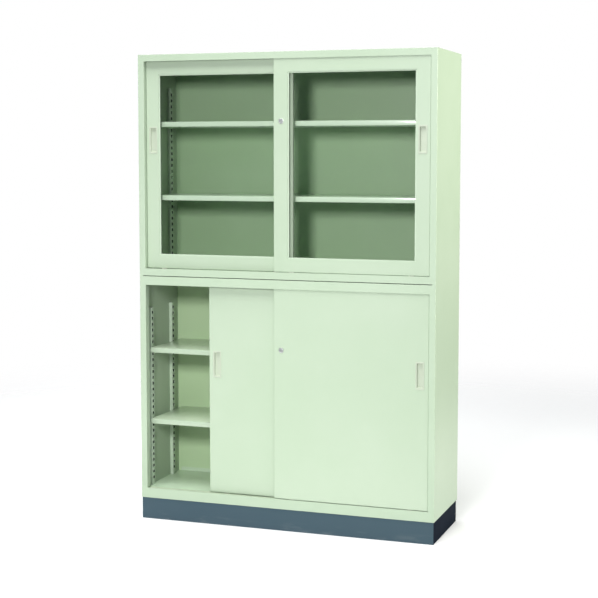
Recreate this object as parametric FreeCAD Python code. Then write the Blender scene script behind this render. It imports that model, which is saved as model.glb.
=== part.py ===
import FreeCAD, Part

import math
import os

# Two-tier steel bookcase: a closed lower unit and a glazed upper unit, each with a pair of sliding doors,
# on a low plinth.  Millimetres.  X runs to the right along the front, Y to the back, Z up from the floor.
# The origin is on the floor at the middle of the plan.

# ---- overall size ----
WIDTH = 1200.0
DEPTH = 380.0
PLINTH_HEIGHT = 85.0
LOWER_HEIGHT = 888.0
UPPER_HEIGHT = 865.0

# ---- carcass sheet metal ----
SHEET = 1.0
BEND = 1.6  # outer radius of the bends that show
STILE_WIDTH = 25.0  # front flange of a side panel beside the doors
STILE_RETURN = 30.0  # depth of the flange's return into the cabinet
FLANGE = 14.0  # joint flange of the side panels on all four edges
LOWER_HEAD = 34.0  # head rail of the lower unit
UPPER_HEAD = 26.0
LOWER_SILL = 39.0  # sill lip above the lower unit's underside
UPPER_SILL = 31.0
SEAM_GAP = 3.0  # shadow line under the upper unit's sill rail
LIP_WIDTH = 4.0  # folded sill lip, front to back
LIP_HEIGHT = 6.0  # sill lip above the cabinet floor
HEM = 3.0  # folded lower edge of the head rail
SILL_HEM = 10.0  # folded lower edge of the sill rail
FLOOR_FLANGE = 15.0  # turned edges of the floor panel
BACK_INSET = 22.0  # back panel's front face before the cabinet's rear

# ---- plinth ----
PLINTH_SHEET = 1.6
PLINTH_FLANGE = 30.0
PLINTH_SIDE_INSET = 2.0
PLINTH_FRONT_INSET = 2.0
PLINTH_REAR_INSET = 11.0

# ---- shelf standards and clips ----
POST_FRONT = 74.0  # front standard's face behind the cabinet front
POST_REAR = 271.0  # rear standard's face behind the cabinet front
POST_WIDTH = 24.0
POST_PROJECTION = 13.0
POST_HEIGHT = 722.0
SLOT_PITCH = 24.0
SLOT_HEIGHT = 12.0
SLOT_WIDTH = 14.0
LOWER_FIRST_SLOT = 30.0  # first slot's centre above the floor panel
UPPER_FIRST_SLOT = 23.5
SLOT_END_MARGIN = 18.0  # least distance from a slot's centre to the standard's end
CLIP_SHEET = 1.5
CLIP_WIDTH = 12.5
CLIP_LEDGE = 12.0
CLIP_DROP = 8.5  # ledge's top under the slot's lower edge
CLIP_HOOK = 3.0  # hook's tip under the slot's lower edge
CLIP_PLAY = 0.3

# ---- shelves ----
SHELF_HEIGHT = 20.0
SHELF_FRONT = 54.0
SHELF_LIP = 12.0
SHELF_END_GAP = 2.5
SHELF_REAR_GAP = 3.0
LOWER_SHELF_SLOTS = (10, 22)
UPPER_SHELF_SLOTS = (11, 23)

# ---- doors ----
DOOR_OVERLAP = 72.0  # how far the closed doors lie one behind the other
DOOR_DEPTH = 14.0
DOOR_SET_BACK = 4.0  # front door's face behind the cabinet front
DOOR_SPACING = 3.0  # clear gap between the front and the rear door
DOOR_JAMB_GAP = 1.0
DOOR_SILL_GAP = 2.0
DOOR_HEAD_LAP = 4.0  # part of the door hidden behind the head rail
DOOR_LIP = 8.0
LOWER_LEFT_DOOR_SHIFT = 262.0  # how far the lower left door stands open
STIFFENER_WIDTH = 60.0
STIFFENER_DEPTH = 10.0
STIFFENER_END_GAP = 60.0

# ---- glazing ----
OUTER_STILE = 52.0
INNER_STILE = 56.0
TOP_RAIL = 54.0
BOTTOM_RAIL = 50.0
REBATE_DEPTH = 12.0
SEAL_WIDTH = 5.0
SEAL_THICKNESS = 7.0
SEAL_SET_BACK = 2.5
SEAL_GROOVE = 3.0
GLASS = 3.0

# ---- finger pulls ----
PULL_WIDTH = 34.0
PULL_HEIGHT = 106.0
PULL_RECESS_WIDTH = 23.0
PULL_RECESS_HEIGHT = 92.0
PULL_RECESS_DEPTH = 9.0
PULL_RIM = 1.2
PULL_WALL = 1.5
PULL_DRAFT = 1.5
PULL_CORNER = 2.5
UPPER_PULL_CENTRE_UP = 534.0  # above the unit's underside
LOWER_PULL_CENTRE_UP = 549.0
UPPER_PULL_INSET = 28.5  # pull's centre from the door's outer edge
LOWER_PULL_INSET = 33.0

# ---- locks ----
LOCK_INSET = 29.5  # lock's centre from the door's inner edge
LOCK_ABOVE_PULL = 70.0
LOCK_FLANGE_RADIUS = 10.0
LOCK_FLANGE = 1.6
LOCK_SHANK_WIDTH = 15.0
LOCK_SHANK = 8.0
PLUG_RADIUS = 6.0
PLUG_CLEARANCE = 0.08
KEYWAY_WIDTH = 1.6
KEYWAY_HEIGHT = 7.0
KEYWAY_DEPTH = 5.0
CAM_SHEET = 1.5
CAM_WIDTH = 10.0
CAM_REACH = 18.0

# ---- running gear ----
ROLLER_RADIUS = 8.0
ROLLER_FLAT_COUNT = 16  # rims and axles are out of sight, so they are drawn with few faces
ROLLER_WIDTH = 5.0
ROLLER_PLAY = 0.3
ROLLER_INSET = 70.0  # roller's centre from the door's side edge
AXLE_RADIUS = 1.5
AXLE_FLAT_COUNT = 12
AXLE_CLEARANCE = 0.06
CARRIER_LENGTH = 34.0
CARRIER_CHEEK = 1.5
CARRIER_HEIGHT = 15.0
CARRIER_FOOT = 3.0  # cheeks below the door's bottom edge
CARRIER_GAP = 0.5
SHOE_LENGTH = 30.0
SHOE_INSET = 60.0
SHOE_HEIGHT = 12.0
CHANNEL_WIDTH = 10.0
SHOE_PLAY = 0.5
GUIDE_WALL = 1.5
GUIDE_PLATE = 2.0
GUIDE_CLEARANCE = 3.0  # guide's legs above the door's top edge
TRACK_PLATE = 1.0
TRACK_WALL = 1.5
TRACK_WALL_HEIGHT = 3.0
TRACK_PLAY = 0.6  # beside a roller
TRACK_END_GAP = 1.0

OVERRUN = 1.0  # how far a cutter runs past the face that it opens

# ---- planes that several pieces share ----
LEFT = -WIDTH / 2
RIGHT = WIDTH / 2
FRONT = -DEPTH / 2
REAR = DEPTH / 2
BACK_FACE = REAR - BACK_INSET  # front face of the back panels
OPENING_LEFT = LEFT + STILE_WIDTH
OPENING_RIGHT = RIGHT - STILE_WIDTH
DOOR_WIDTH = (OPENING_RIGHT - OPENING_LEFT + DOOR_OVERLAP) / 2 - DOOR_JAMB_GAP
FRONT_DOOR_FACE = FRONT + DOOR_SET_BACK
REAR_DOOR_FACE = FRONT_DOOR_FACE + DOOR_DEPTH + DOOR_SPACING
WALL_FACE = LEFT + SHEET  # inside of the left wall
POST_FACE = WALL_FACE + POST_PROJECTION  # slotted face of the standards on it

V = FreeCAD.Vector


class Unit:
    """The heights that one of the two cabinets is built to."""

    def __init__(self, name, base, height, head, sill, seam, first_slot, shelf_slots, pull_up, pull_inset):
        self.name = name
        self.base = base
        self.top = base + height
        self.head = self.top - head  # lower edge of the head rail
        self.sill = base + sill
        self.floor = self.sill - LIP_HEIGHT
        self.rail_bottom = base + seam
        self.first_slot = self.floor + first_slot
        self.shelf_slots = shelf_slots
        self.door_bottom = self.sill + DOOR_SILL_GAP
        self.door_top = self.head + DOOR_HEAD_LAP
        self.pull_height = base + pull_up
        self.pull_inset = pull_inset


LOWER = Unit("lower", PLINTH_HEIGHT, LOWER_HEIGHT, LOWER_HEAD, LOWER_SILL, 0.0,
             LOWER_FIRST_SLOT, LOWER_SHELF_SLOTS, LOWER_PULL_CENTRE_UP, LOWER_PULL_INSET)
UPPER = Unit("upper", LOWER.top, UPPER_HEIGHT, UPPER_HEAD, UPPER_SILL, SEAM_GAP,
             UPPER_FIRST_SLOT, UPPER_SHELF_SLOTS, UPPER_PULL_CENTRE_UP, UPPER_PULL_INSET)
UNITS = (LOWER, UPPER)


# ---- shapes that more than one piece is made from ----

def box(x0, x1, y0, y1, z0, z1):
    return Part.makeBox(x1 - x0, y1 - y0, z1 - z0, V(x0, y0, z0))


def mirrored(shape):
    """The same piece on the other side of the cabinet's middle plane."""
    return shape.mirror(V(0, 0, 0), V(1, 0, 0))


def fused(shapes):
    return shapes[0].multiFuse(shapes[1:]).removeSplitter()


def without(shape, cutters):
    return shape.cut(Part.makeCompound(cutters))


def in_plane(axis, along, a, b):
    """A point of the plane square to an axis: (y, z) for x, (x, z) for y and (x, y) for z."""
    return {"x": V(along, a, b), "y": V(a, along, b), "z": V(a, b, along)}[axis]


def prism(axis, start, end, points):
    """A straight bar along an axis, with a section given by its corners."""
    corners = [in_plane(axis, start, a, b) for a, b in points]
    face = Part.Face(Part.makePolygon(corners + corners[:1]))
    return face.extrude(in_plane(axis, end, 0, 0) - in_plane(axis, start, 0, 0))


def cylinder(axis, start, end, centre, radius):
    direction = in_plane(axis, 1, 0, 0)
    return Part.makeCylinder(radius, end - start, in_plane(axis, start, *centre), direction)


def rounded_corner(here, behind, ahead, radius):
    """Start, middle and end of an arc that touches both legs of a corner."""
    tangent = radius * math.tan(behind.getAngle(ahead) / 2)
    start = here - behind * tangent
    end = here + ahead * tangent
    centre = start + V(-behind.y, behind.x, 0) * radius
    return start, centre + (here - centre).normalize() * radius, end


def folded(axis, start, end, path):
    """Sheet metal folded along a path and cut to a length along an axis.

    The path is one face of the sheet, which lies to its left.  A corner that turns left may have a third value,
    its outer radius."""
    outline, other = [], []
    corners = [V(corner[0], corner[1], 0) for corner in path]
    for i, here in enumerate(corners):
        behind = here - corners[i - 1] if i > 0 else corners[1] - here
        ahead = corners[i + 1] - here if i + 1 < len(corners) else V(behind)
        behind.normalize()
        ahead.normalize()
        outline.append(rounded_corner(here, behind, ahead, path[i][2]) if len(path[i]) == 3 else (here,))
        inward = V(-behind.y, behind.x, 0)
        if 0 < i < len(corners) - 1:
            inward += V(-ahead.y, ahead.x, 0)
        other.append((here + inward * SHEET,))
    loop = outline + other[::-1]
    edges = []
    for i, corner in enumerate(loop):
        points = [in_plane(axis, start, p.x, p.y) for p in corner]
        following = loop[(i + 1) % len(loop)][0]
        if len(points) == 3:
            edges.append(Part.Arc(*points).toShape())
        edges.append(Part.LineSegment(points[-1], in_plane(axis, start, following.x, following.y)).toShape())
    face = Part.Face(Part.Wire(edges))
    return face.extrude(in_plane(axis, end, 0, 0) - in_plane(axis, start, 0, 0))


def slot_heights(unit):
    """Centres of the slots that fit on a standard of the unit."""
    last = unit.floor + POST_HEIGHT - SLOT_END_MARGIN
    count = int((last - unit.first_slot) // SLOT_PITCH) + 1
    return [unit.first_slot + i * SLOT_PITCH for i in range(count)]


def shelf_tops(unit):
    """Upper faces of the shelves, which their clips set."""
    ledge = -SLOT_HEIGHT / 2 - CLIP_DROP
    return [unit.first_slot + slot * SLOT_PITCH + ledge + SHELF_HEIGHT for slot in unit.shelf_slots]


# ---- plinth: four channels, mitred at the corners ----

def plinth_channel(axis, start, end, face, inward):
    """A channel with its web on the plinth's outside and its flanges turned in."""
    web = face + inward * PLINTH_SHEET
    edge = face + inward * PLINTH_FLANGE
    low, high = PLINTH_SHEET, PLINTH_HEIGHT - PLINTH_SHEET
    points = [(edge, 0), (face, 0), (face, PLINTH_HEIGHT), (edge, PLINTH_HEIGHT),
              (edge, high), (web, high), (web, low), (edge, low)]
    return prism(axis, start, end, points)


def plinth_pieces():
    left, right = LEFT + PLINTH_SIDE_INSET, RIGHT - PLINTH_SIDE_INSET
    front, rear = FRONT + PLINTH_FRONT_INSET, REAR - PLINTH_REAR_INSET
    reach = (rear - front) / 2
    front_plan = [(left, front), (right, front), (right - reach, front + reach), (left + reach, front + reach)]
    rear_plan = [(left, rear), (left + reach, rear - reach), (right - reach, rear - reach), (right, rear)]
    left_plan = [(left, front), (left + reach, front + reach), (left + reach, rear - reach), (left, rear)]
    front_channel = plinth_channel("x", left, right, front, 1)
    rear_channel = plinth_channel("x", left, right, rear, -1)
    left_channel = plinth_channel("y", front, rear, left, 1)
    front_piece = front_channel.common(prism("z", 0, PLINTH_HEIGHT, front_plan))
    rear_piece = rear_channel.common(prism("z", 0, PLINTH_HEIGHT, rear_plan))
    left_piece = left_channel.common(prism("z", 0, PLINTH_HEIGHT, left_plan))
    return {
        "plinth_front": front_piece,
        "plinth_rear": rear_piece,
        "plinth_ends": Part.makeCompound([left_piece, mirrored(left_piece)]),
    }


# ---- carcass ----

def side_panel(unit):
    """Left side: an outer wall with the front stile and its return folded from the same sheet."""
    wall = folded("z", unit.base, unit.top, [
        (LEFT + FLANGE, REAR), (LEFT, REAR), (LEFT, FRONT, BEND),
        (OPENING_LEFT, FRONT, BEND), (OPENING_LEFT, FRONT + STILE_RETURN)])
    notch_end = OPENING_LEFT + SHEET
    notch_back = FRONT + STILE_RETURN + SHEET
    notches = [box(LEFT + FLANGE, notch_end, FRONT - SHEET, notch_back, unit.base - SHEET, unit.sill),
               box(LEFT + FLANGE, notch_end, FRONT - SHEET, notch_back, unit.head, unit.top + SHEET)]
    wall = without(wall, notches)
    top_flange = box(LEFT + SHEET, LEFT + FLANGE, FRONT + SHEET, REAR - SHEET, unit.top - SHEET, unit.top)
    foot = box(LEFT + SHEET, LEFT + FLANGE, FRONT + SHEET, BACK_FACE, unit.base, unit.base + SHEET)
    return fused([wall, top_flange, foot])


def top_panel(unit):
    """Top sheet with the head rail folded down at the front and a joint flange at the rear."""
    return folded("x", LEFT + FLANGE, RIGHT - FLANGE, [
        (REAR, unit.top - FLANGE), (REAR, unit.top), (FRONT, unit.top, BEND),
        (FRONT, unit.head), (FRONT + HEM, unit.head)])


def floor_panel(unit):
    """Floor sheet with a raised lip and the sill rail folded down at the front."""
    rear = BACK_FACE - SHEET
    floor = folded("x", LEFT + FLANGE, RIGHT - FLANGE, [
        (rear, unit.floor + FLOOR_FLANGE), (rear, unit.floor), (FRONT + LIP_WIDTH, unit.floor),
        (FRONT + LIP_WIDTH, unit.sill), (FRONT, unit.sill),
        (FRONT, unit.rail_bottom), (FRONT + SILL_HEM, unit.rail_bottom)])
    strip_front = FRONT + LIP_WIDTH - SHEET
    strip = box(LEFT + SHEET, LEFT + FLANGE, strip_front, BACK_FACE, unit.floor - SHEET, unit.floor)
    flange = box(LEFT + SHEET, LEFT + 2 * SHEET, strip_front, BACK_FACE, unit.floor - FLOOR_FLANGE, unit.floor)
    return fused([floor, strip, flange, mirrored(strip), mirrored(flange)])


def back_panel(unit):
    """Back sheet whose edges turn to the rear, against the walls and the side panels' rear flanges."""
    edge = REAR - SHEET
    return folded("z", unit.base, unit.top - SHEET, [
        (WALL_FACE, edge), (WALL_FACE, BACK_FACE), (-WALL_FACE, BACK_FACE), (-WALL_FACE, edge)])


def carcass(unit):
    left = side_panel(unit)
    return {
        unit.name + "_left_side": left,
        unit.name + "_right_side": mirrored(left),
        unit.name + "_top": top_panel(unit),
        unit.name + "_floor": floor_panel(unit),
        unit.name + "_back": back_panel(unit),
    }


# ---- shelf standards and clips ----

def standard(unit, set_back):
    """Slotted channel on the left wall and open towards it."""
    front = FRONT + set_back
    rear = front + POST_WIDTH
    channel = folded("z", unit.floor, unit.floor + POST_HEIGHT, [
        (WALL_FACE, front), (POST_FACE, front), (POST_FACE, rear), (WALL_FACE, rear)])
    middle = (front + rear) / 2
    cuts = [box(POST_FACE - 2 * SHEET, POST_FACE + SHEET, middle - SLOT_WIDTH / 2, middle + SLOT_WIDTH / 2,
                height - SLOT_HEIGHT / 2, height + SLOT_HEIGHT / 2) for height in slot_heights(unit)]
    return without(channel, cuts)


def standards(unit):
    left = [standard(unit, set_back) for set_back in (POST_FRONT, POST_REAR)]
    return Part.makeCompound(left + [mirrored(post) for post in left])


def clip(middle, slot):
    """Bent steel clip: a hook in the slot, a tab down the face and a ledge under the shelf."""
    edge = slot - SLOT_HEIGHT / 2
    tongue = edge + CLIP_PLAY
    tongue_top = tongue + CLIP_SHEET
    ledge = edge - CLIP_DROP
    behind = -SHEET - CLIP_PLAY
    tip = behind - CLIP_SHEET
    section = [(tip, edge - CLIP_HOOK), (behind, edge - CLIP_HOOK), (behind, tongue), (0, tongue),
               (0, ledge - CLIP_SHEET), (CLIP_LEDGE, ledge - CLIP_SHEET), (CLIP_LEDGE, ledge),
               (CLIP_SHEET, ledge), (CLIP_SHEET, tongue_top), (tip, tongue_top)]
    points = [(POST_FACE + reach, height) for reach, height in section]
    return prism("y", middle - CLIP_WIDTH / 2, middle + CLIP_WIDTH / 2, points)


def shelf_clips(unit):
    """Four clips to a shelf, one in each standard."""
    left = []
    for index in unit.shelf_slots:
        for set_back in (POST_FRONT, POST_REAR):
            left.append(clip(FRONT + set_back + POST_WIDTH / 2, unit.first_slot + index * SLOT_PITCH))
    return Part.makeCompound(left + [mirrored(piece) for piece in left])


# ---- shelves ----

def shelf(top):
    """A tray turned down on all sides, with a return under the front edge."""
    left = POST_FACE + SHELF_END_GAP
    right = -left
    front = FRONT + SHELF_FRONT
    rear = BACK_FACE - SHELF_REAR_GAP
    low = top - SHELF_HEIGHT
    tray = folded("x", left, right, [
        (rear, low), (rear, top), (front, top), (front, low), (front + SHELF_LIP, low)])
    ends = [box(x, x + SHEET, front + SHEET, rear - SHEET, low, top - SHEET) for x in (left, right - SHEET)]
    return fused([tray] + ends)


def shelves(unit):
    levels = [unit.name + "_shelf_low", unit.name + "_shelf_high"]
    return {name: shelf(top) for name, top in zip(levels, shelf_tops(unit))}


# ---- tracks ----

def channel_middles():
    """Middle planes of the front and the rear door."""
    return [face + DOOR_DEPTH / 2 for face in (FRONT_DOOR_FACE, REAR_DOOR_FACE)]


def track_ends():
    return OPENING_LEFT + TRACK_END_GAP, OPENING_RIGHT - TRACK_END_GAP


def top_guide(unit):
    """Twin channel under the top sheet that keeps the doors upright."""
    left, right = track_ends()
    top = unit.top - SHEET
    low = unit.door_top + GUIDE_CLEARANCE
    reach = CHANNEL_WIDTH / 2 + GUIDE_WALL
    front, rear = channel_middles()
    bar = box(left, right, front - reach, rear + reach, low, top)
    under_plate = top - GUIDE_PLATE
    start, end, under = left - OVERRUN, right + OVERRUN, low - OVERRUN
    channels = [box(start, end, y - CHANNEL_WIDTH / 2, y + CHANNEL_WIDTH / 2, under, under_plate)
                for y in (front, rear)]
    between = box(start, end, front + reach, rear - reach, under, under_plate)
    return without(bar, channels + [between])


def bottom_track(unit):
    """Flat strip with a low wall on both sides of each door's rollers."""
    left, right = track_ends()
    plate_top = unit.floor + TRACK_PLATE
    plate = box(left, right, FRONT + LIP_WIDTH, REAR_DOOR_FACE + DOOR_DEPTH, unit.floor, plate_top)
    clear = ROLLER_WIDTH / 2 + TRACK_PLAY
    walls = [box(left, right, near, near + TRACK_WALL, plate_top, plate_top + TRACK_WALL_HEIGHT)
             for y in channel_middles() for near in (y - clear - TRACK_WALL, y + clear)]
    return fused([plate] + walls)


# ---- doors ----

class Door:
    """Place of one door.  Left doors run on the rear track and right doors on the front track."""

    def __init__(self, unit, side):
        self.unit = unit
        self.name = unit.name + "_" + side
        self.side = side
        self.is_left = side == "left"
        self.face = REAR_DOOR_FACE if self.is_left else FRONT_DOOR_FACE
        shift = LOWER_LEFT_DOOR_SHIFT if self.is_left and unit is LOWER else 0.0
        closed_left = OPENING_LEFT + DOOR_JAMB_GAP
        closed_right = OPENING_RIGHT - DOOR_JAMB_GAP - DOOR_WIDTH
        self.x0 = closed_left + shift if self.is_left else closed_right
        self.x1 = self.x0 + DOOR_WIDTH
        self.back = self.face + DOOR_DEPTH
        self.middle = self.face + DOOR_DEPTH / 2
        self.z0 = unit.door_bottom
        self.z1 = unit.door_top

    def from_outer_edge(self, distance):
        return self.x0 + distance if self.is_left else self.x1 - distance

    def from_inner_edge(self, distance):
        return self.x1 - distance if self.is_left else self.x0 + distance

    def roller_places(self):
        return [self.x0 + ROLLER_INSET, self.x1 - ROLLER_INSET]


def door_pan(door):
    """Front sheet with its side edges folded back and lipped, closed at the top and bottom."""
    skin = folded("z", door.z0, door.z1, [
        (door.x1 - DOOR_LIP, door.back), (door.x1, door.back), (door.x1, door.face, BEND),
        (door.x0, door.face, BEND), (door.x0, door.back), (door.x0 + DOOR_LIP, door.back)][::-1])
    inside = (door.x0 + SHEET, door.x1 - SHEET, door.face + SHEET, door.back)
    caps = [box(*inside, door.z0, door.z0 + SHEET), box(*inside, door.z1 - SHEET, door.z1)]
    return fused([skin] + caps)


def pull_centre(door):
    return door.from_outer_edge(door.unit.pull_inset), door.unit.pull_height


def pull_cut(door):
    x, z = pull_centre(door)
    half_width = PULL_RECESS_WIDTH / 2 + PULL_WALL
    half_height = PULL_RECESS_HEIGHT / 2 + PULL_WALL
    return box(x - half_width, x + half_width, door.face - SHEET, door.face + 2 * SHEET,
               z - half_height, z + half_height)


def lock_centre(door):
    return door.from_inner_edge(LOCK_INSET), door.unit.pull_height + LOCK_ABOVE_PULL


def lock_shank(door, front, back):
    x, z = lock_centre(door)
    half = LOCK_SHANK_WIDTH / 2
    return box(x - half, x + half, front, back, z - half, z + half)


def carrier_cuts(door):
    """Holes in the bottom edge that the roller carriers pass through."""
    half = ROLLER_RADIUS + CARRIER_GAP + CARRIER_CHEEK
    reach = carrier_half_width()
    return [box(x - half, x + half, door.middle - reach, door.middle + reach, door.z0 - SHEET, door.z0 + 2 * SHEET)
            for x in door.roller_places()]


def door_cuts(door):
    cuts = [pull_cut(door)] + carrier_cuts(door)
    if not door.is_left:
        cuts.append(lock_shank(door, door.face - SHEET, door.face + 2 * SHEET))
    return cuts


def stiffener(door):
    """Folded channel welded up the middle of a steel door's back."""
    middle = (door.x0 + door.x1) / 2
    left, right = middle - STIFFENER_WIDTH / 2, middle + STIFFENER_WIDTH / 2
    skin = door.face + SHEET
    return folded("z", door.z0 + STIFFENER_END_GAP, door.z1 - STIFFENER_END_GAP, [
        (left, skin), (left, skin + STIFFENER_DEPTH), (right, skin + STIFFENER_DEPTH), (right, skin)][::-1])


def steel_door(door):
    return without(fused([door_pan(door), stiffener(door)]), door_cuts(door))


def window(door):
    """Clear opening of a glazed door's frame: left, right, bottom, top."""
    outer = door.from_outer_edge(OUTER_STILE)
    inner = door.from_inner_edge(INNER_STILE)
    return min(outer, inner), max(outer, inner), door.z0 + BOTTOM_RAIL, door.z1 - TOP_RAIL


def window_block(door, margin, y0, y1):
    """A block over the window, wider than it by a margin all round."""
    left, right, low, high = window(door)
    return box(left - margin, right + margin, y0, y1, low - margin, high + margin)


def glass_frame(door):
    """Pan with a window, whose edges are folded back into a rebate for the glazing."""
    rebate = window_block(door, SHEET, door.face, door.face + REBATE_DEPTH)
    frame = fused([door_pan(door), rebate])
    return without(frame, [window_block(door, 0, door.face - SHEET, door.back)] + door_cuts(door))


def glazing_seal(door):
    """Moulded strip with a groove for the glass, pressed into the rebate."""
    front = door.face + SEAL_SET_BACK
    ring = window_block(door, 0, front, front + SEAL_THICKNESS)
    opening = window_block(door, -SEAL_WIDTH, front - SHEET, front + SEAL_THICKNESS + SHEET)
    return without(ring, [opening, glass_pane(door)])


def glass_pane(door):
    front = door.face + SEAL_SET_BACK + (SEAL_THICKNESS - GLASS) / 2
    return window_block(door, SEAL_GROOVE - SEAL_WIDTH, front, front + GLASS)


def finger_pull(door):
    """Moulded cup: a rim on the door's face and a tapered recess behind it."""
    x, z = pull_centre(door)

    def block(width, height, y0, y1):
        return box(x - width / 2, x + width / 2, y0, y1, z - height / 2, z + height / 2)

    rim = block(PULL_WIDTH, PULL_HEIGHT, door.face - PULL_RIM, door.face)
    corners = [e for e in rim.Edges if e.BoundBox.YLength > PULL_RIM / 2]
    rim = rim.makeFillet(PULL_CORNER, corners)
    cup_depth = PULL_RECESS_DEPTH - PULL_RIM + PULL_WALL
    cup = block(PULL_RECESS_WIDTH + 2 * PULL_WALL, PULL_RECESS_HEIGHT + 2 * PULL_WALL,
                door.face - PULL_RIM, door.face + cup_depth)
    return fused([rim, cup]).cut(pull_recess(door))


def pull_recess(door):
    """The recess narrows by the mould's draft towards its bottom."""
    x, z = pull_centre(door)
    left, right = x - PULL_RECESS_WIDTH / 2, x + PULL_RECESS_WIDTH / 2
    low, high = z - PULL_RECESS_HEIGHT / 2, z + PULL_RECESS_HEIGHT / 2
    front = door.face - PULL_RIM
    return Part.makeWedge(left, front, low, low + PULL_DRAFT, left + PULL_DRAFT,
                          right, front + PULL_RECESS_DEPTH, high, high - PULL_DRAFT, right - PULL_DRAFT)


# ---- locks ----

def lock_barrel(door):
    """Round flange on the front door's inner stile and a square shank that can't turn in it."""
    centre = lock_centre(door)
    front = door.face - LOCK_FLANGE
    back = door.face + LOCK_SHANK
    flange = cylinder("y", front, door.face, centre, LOCK_FLANGE_RADIUS)
    bore = cylinder("y", front - OVERRUN, back + OVERRUN, centre, PLUG_RADIUS + PLUG_CLEARANCE)
    return fused([flange, lock_shank(door, door.face, back)]).cut(bore)


def lock_plug(door):
    """Plug with an upright keyway and the cam on its inner end, hanging down while the lock is open."""
    x, z = lock_centre(door)
    front = door.face - LOCK_FLANGE
    back = door.face + LOCK_SHANK
    plug = cylinder("y", front, back, (x, z), PLUG_RADIUS)
    keyway = box(x - KEYWAY_WIDTH / 2, x + KEYWAY_WIDTH / 2, front - OVERRUN, front + KEYWAY_DEPTH,
                 z - KEYWAY_HEIGHT / 2, z + KEYWAY_HEIGHT / 2)
    cam = box(x - CAM_WIDTH / 2, x + CAM_WIDTH / 2, back, back + CAM_SHEET, z - CAM_REACH, z + CAM_WIDTH / 2)
    return fused([plug, cam]).cut(keyway)


# ---- running gear ----

def roller_centre_height(unit):
    return unit.floor + TRACK_PLATE + ROLLER_PLAY + ROLLER_RADIUS


def flat_sided(start, end, centre, radius, flats):
    """A round bar along Y, drawn with flats between points on its circle."""
    x, z = centre
    turns = [2 * math.pi * i / flats for i in range(flats)]
    corners = [(x + radius * math.sin(turn), z - radius * math.cos(turn)) for turn in turns]
    return prism("y", start, end, corners)


def roller(door, x):
    """Nylon wheel on a plain bearing."""
    centre = (x, roller_centre_height(door.unit))
    near, far = door.middle - ROLLER_WIDTH / 2, door.middle + ROLLER_WIDTH / 2
    bore = cylinder("y", near - OVERRUN, far + OVERRUN, centre, AXLE_RADIUS + AXLE_CLEARANCE)
    return flat_sided(near, far, centre, ROLLER_RADIUS, ROLLER_FLAT_COUNT).cut(bore)


def carrier_half_width():
    return ROLLER_WIDTH / 2 + CARRIER_GAP + CARRIER_CHEEK


def carrier(door, x):
    """Nylon housing snapped into the door's bottom edge, with the roller's axle across it."""
    reach = carrier_half_width()
    clear = ROLLER_WIDTH / 2 + CARRIER_GAP
    hollow = ROLLER_RADIUS + CARRIER_GAP
    neck = hollow + CARRIER_CHEEK
    centre = roller_centre_height(door.unit)
    edge = door.z0 + SHEET
    bottom = door.z0 - CARRIER_FOOT
    head = box(x - CARRIER_LENGTH / 2, x + CARRIER_LENGTH / 2, door.middle - reach, door.middle + reach,
               edge, edge + CARRIER_HEIGHT)
    foot = box(x - neck, x + neck, door.middle - reach, door.middle + reach, bottom, edge)
    space = box(x - hollow, x + hollow, door.middle - clear, door.middle + clear,
                bottom - OVERRUN, centre + hollow)
    axle = flat_sided(door.middle - clear, door.middle + clear, (x, centre), AXLE_RADIUS, AXLE_FLAT_COUNT)
    return fused([fused([head, foot]).cut(space), axle])


def guide_shoe(door, x):
    """Nylon block on the door's top edge that runs in the guide's channel."""
    half = CHANNEL_WIDTH / 2 - SHOE_PLAY
    return box(x - SHOE_LENGTH / 2, x + SHOE_LENGTH / 2, door.middle - half, door.middle + half,
               door.z1, door.z1 + SHOE_HEIGHT)


def runners(door):
    carriers = [carrier(door, x) for x in door.roller_places()]
    shoes = [guide_shoe(door, x) for x in (door.x0 + SHOE_INSET, door.x1 - SHOE_INSET)]
    return Part.makeCompound(carriers + shoes)


def door_pieces(door):
    pieces = {door.name + "_pull": finger_pull(door), door.name + "_door_runners": runners(door)}
    if door.unit is UPPER:
        pieces[door.name + "_door_frame"] = glass_frame(door)
        pieces[door.name + "_glass"] = glass_pane(door)
        pieces[door.name + "_glazing_seal"] = glazing_seal(door)
    else:
        pieces[door.name + "_door_panel"] = steel_door(door)
    for place, x in zip(("left", "right"), door.roller_places()):
        pieces[door.name + "_door_roller_" + place] = roller(door, x)
    if not door.is_left:
        pieces[door.unit.name + "_lock_barrel"] = lock_barrel(door)
        pieces[door.unit.name + "_lock_plug"] = lock_plug(door)
    return pieces


# ---- assembly ----

def bookcase():
    pieces = plinth_pieces()
    for unit in UNITS:
        pieces.update(carcass(unit))
        pieces[unit.name + "_standards"] = standards(unit)
        pieces[unit.name + "_shelf_clips"] = shelf_clips(unit)
        pieces.update(shelves(unit))
        pieces[unit.name + "_top_guide"] = top_guide(unit)
        pieces[unit.name + "_track"] = bottom_track(unit)
        for side in ("left", "right"):
            pieces.update(door_pieces(Door(unit, side)))
    return pieces


os.makedirs("parts", exist_ok=True)
for name, shape in bookcase().items():
    shape.exportStep("parts/" + name + ".step")
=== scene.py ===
import math

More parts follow.
